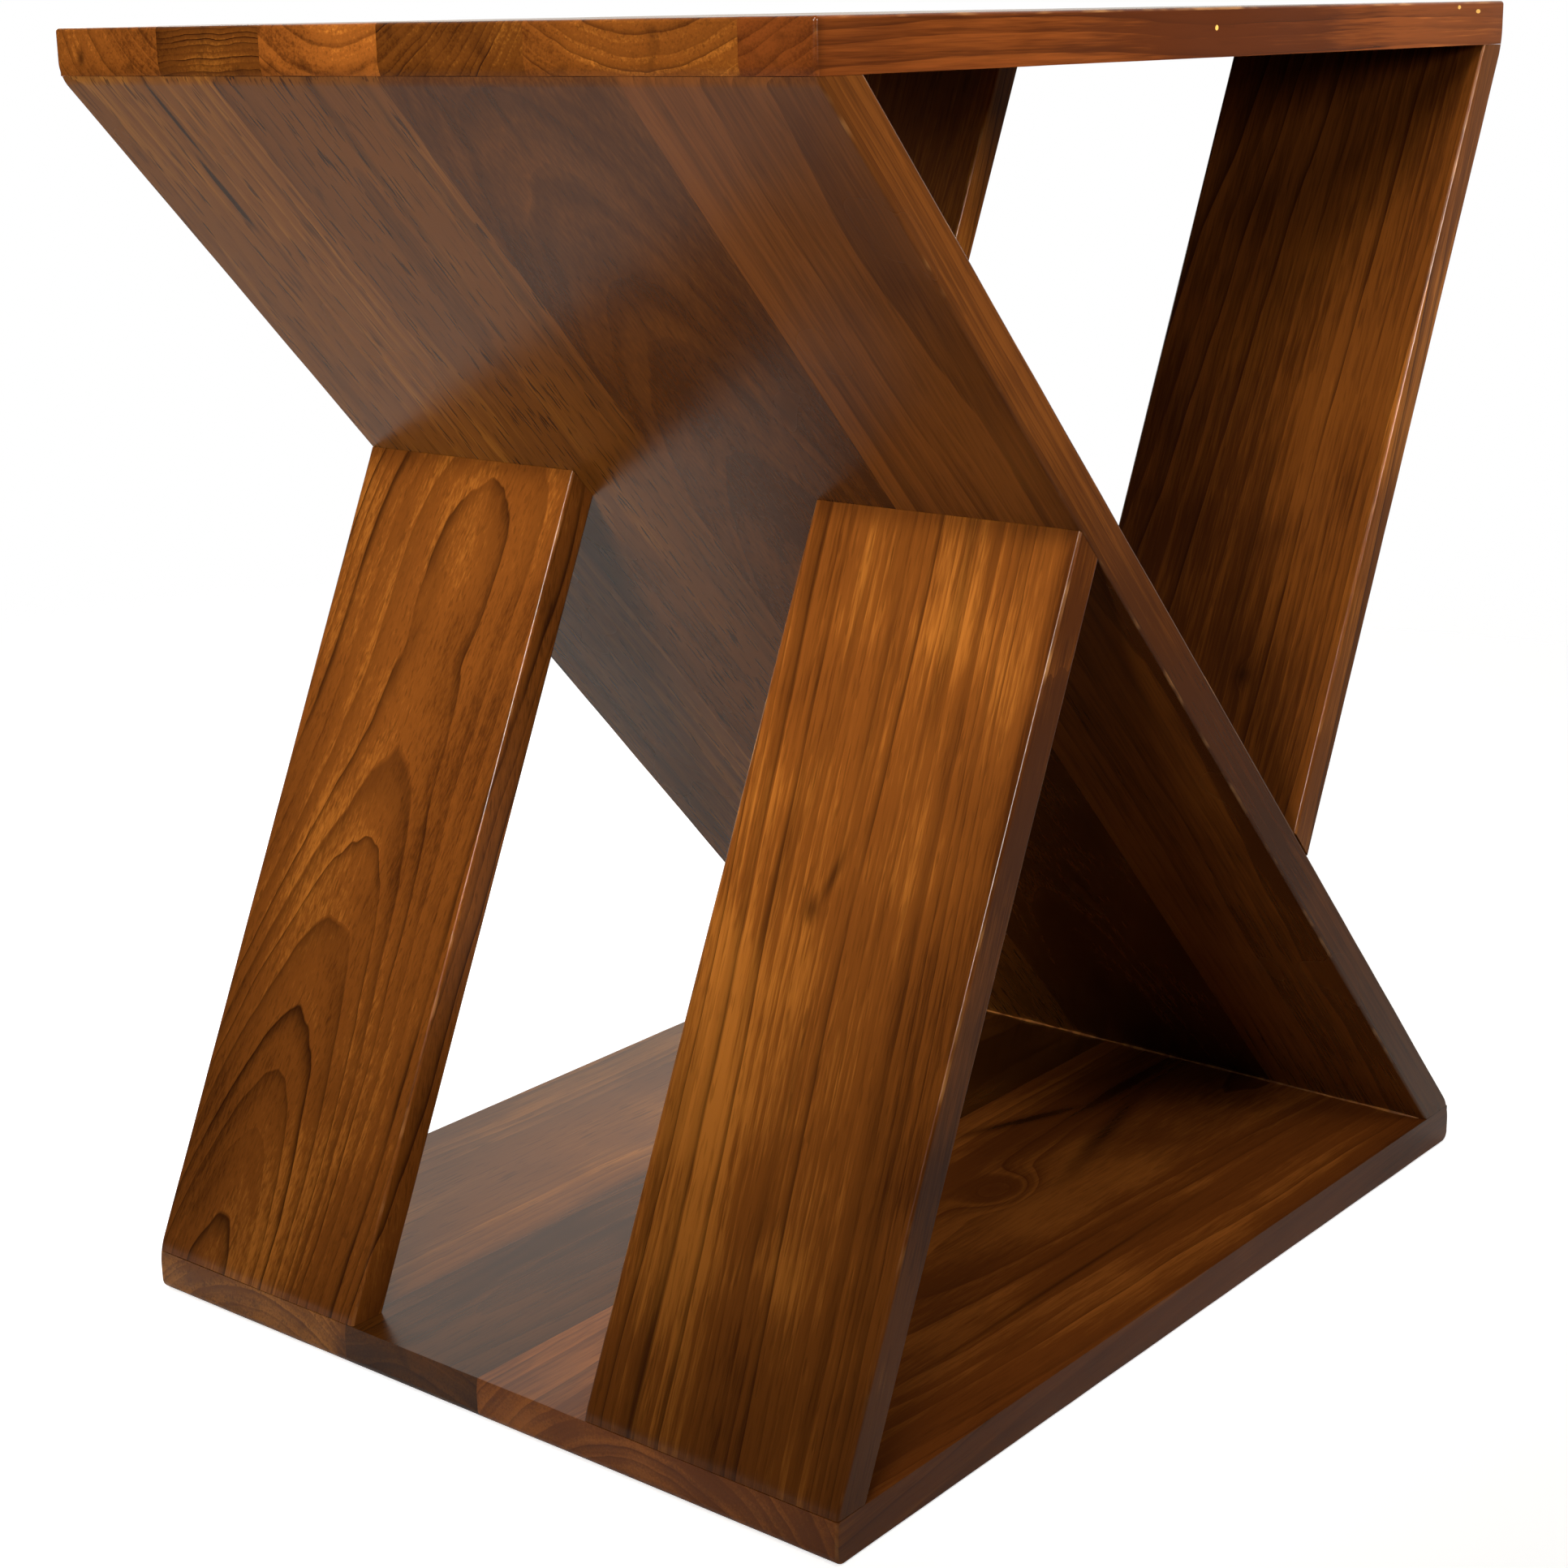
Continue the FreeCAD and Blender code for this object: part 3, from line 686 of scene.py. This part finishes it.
def gluePiece(bead):
    bm = bmesh.new()
    inside = underBottom + Vector((0, 0.0004, -0.0004))
    onBottomBoard = underBottom - Vector((0, bead["leg"], 0.0002))
    onPanel = underBottom - slopeDown * bead["leg"]
    corners = [inside, onBottomBoard, onPanel]
    face = bm.faces.new([bm.verts.new((left + bead["end"], point.y, point.z)) for point in corners])
    carried = bmesh.ops.extrude_face_region(bm, geom=[face])["geom"]
    moved = [part for part in carried if isinstance(part, bmesh.types.BMVert)]
    bmesh.ops.translate(bm, verts=moved, vec=(width - 2 * bead["end"], 0, 0))
    bmesh.ops.recalc_face_normals(bm, faces=bm.faces)
    scoreAcross(bm, Vector((1, 0, 0)), 0.003)
    for vert in bm.verts:
        # the line thins and thickens along the joint
        share = 0.2 + 0.7 * noise.noise(Vector((vert.co.x * 60, 0, 0)))
        vert.co += (Vector((vert.co.x, inside.y, inside.z)) - vert.co) * min(max(share, 0.0), 0.95)
    mesh = bpy.data.meshes.new("glueLine")
    bm.to_mesh(mesh)
    bm.free()
    piece = bpy.data.objects.new("glueLine", mesh)
    scene.collection.objects.link(piece)
    material, tree, shader, place = newMaterial("driedGlue")
    cloudy = grainNoise(tree, place, 160, 160, 2.0).outputs[0]
    color = mixColor(tree, ramp(tree, cloudy, 0.35, 0.65), bead["color"], teakColors["mid"])
    tree.links.new(color, shader.inputs["Base Color"])
    tree.links.new(swing(tree, cloudy, 0.2, bead["roughness"]), shader.inputs["Roughness"])
    bump = addNode(tree, "Bump", {"Height": cloudy, "Strength": 0.4, "Distance": 0.0003})
    tree.links.new(bump.outputs[0], shader.inputs["Normal"])
    mesh.materials.append(material)
    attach(piece, "root")


# bare wood inside the joints: turned beech dowels and birch plywood tongues
innerJoinery = {"dowels": {"color": (0.52, 0.33, 0.17, 1), "dark": (0.36, 0.20, 0.09, 1)},
                "tongue": {"color": (0.60, 0.44, 0.25, 1), "dark": (0.34, 0.20, 0.09, 1)}}


def finishInnerJoinery(woods):
    for kind, wood in woods.items():
        material, tree, shader, place = newMaterial(kind + "Wood")
        fibre = grainNoise(tree, place, 900, 60, 3.0, 0.6).outputs[0]
        fleck = grainNoise(tree, place, 260, 120, 1.0).outputs[0]
        share = calc(tree, "MAXIMUM", ramp(tree, fibre, 0.42, 0.68), ramp(tree, fleck, 0.60, 0.70))
        if kind == "tongue":
            # plies 1.3 mm thick, crossed in turn
            plies = addNode(tree, "TexWave", {"Vector": place, "Scale": 240.0, "Distortion": 0.3,
                                              "Detail": 1.0}, bands_direction="Z").outputs["Fac"]
            share = calc(tree, "MULTIPLY_ADD", plies, 0.6, calc(tree, "MULTIPLY", share, 0.4))
        tree.links.new(mixColor(tree, share, wood["color"], wood["dark"]), shader.inputs["Base Color"])
        tree.links.new(swing(tree, fibre, 0.25, 0.6), shader.inputs["Roughness"])
        bump = addNode(tree, "Bump", {"Height": fibre, "Strength": 0.5, "Distance": 0.0002})
        tree.links.new(bump.outputs[0], shader.inputs["Normal"])
        for node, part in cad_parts.items():
            if kind in node:
                for holder in part.material_slots:
                    holder.material = material


makeCamera(cameraSettings)
makeFloor(floorSettings)
makeLights(lightSettings)
makeSurroundings(surroundings)
print("camera, floor and light placed")
for board, count in (("top", 6), ("panel", 4), ("bottom", 3)):
    for number in range(1, count + 1):
        makeStave(board, number)
    print(board, "board laid up from", count, "staves")
for end in ("front", "rear"):
    for side in ("left", "right"):
        makeSlat(end, side)
print("slats fitted")
gluePiece(glueBead)
finishInnerJoinery(innerJoinery)
print("glue line and inner joinery finished")
